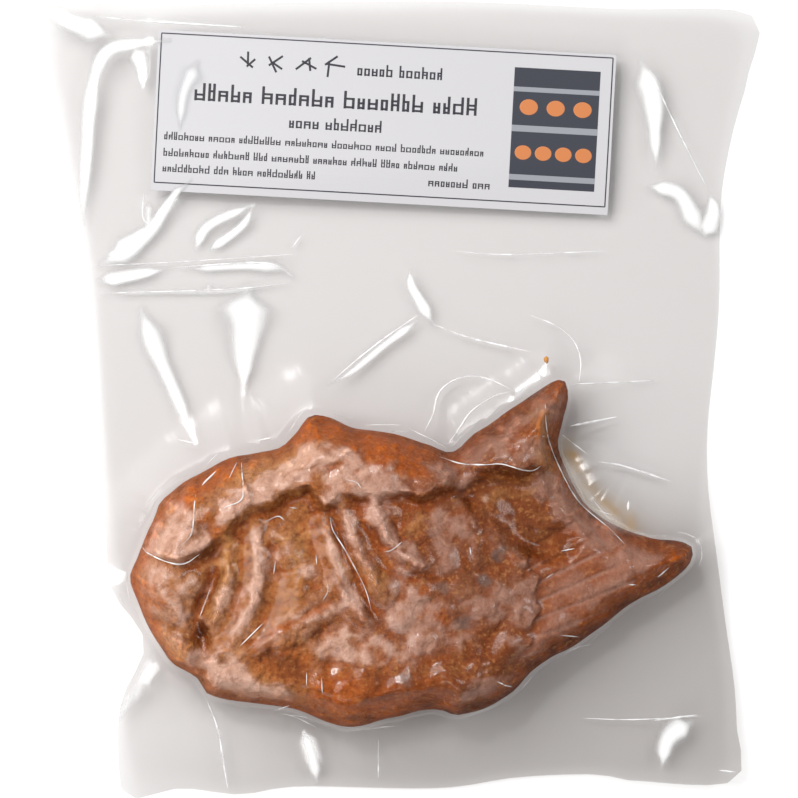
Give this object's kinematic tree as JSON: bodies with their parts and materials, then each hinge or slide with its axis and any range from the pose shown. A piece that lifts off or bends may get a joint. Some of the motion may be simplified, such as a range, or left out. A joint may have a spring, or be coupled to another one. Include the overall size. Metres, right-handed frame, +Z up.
{
  "type": "vacuum-packed taiyaki",
  "caption": "Fish-shaped filled cake with raised back, gills, scales and grooved tail, sealed in a clear vacuum bag with a welded band and a paper label in its pocket.",
  "frame": {"origin": "under the middle of the bag, on the surface that the pack lies on", "axes": "+Z up out of the shown side, +Y towards the bag's mouth and the label, -X towards the fish's nose"},
  "size_m": [0.18, 0.2, 0.0254],
  "materials": {
    "crust": "baked batter crust, orange to deep brown, with a pale frosted bloom where the film touches it",
    "film": "clear glossy vacuum film, creased",
    "paper": null
  },
  "bodies": {
    "root": {"taiyaki": "crust", "vacuum_bag": "film", "label": "paper"}
  },
  "joints": []
}
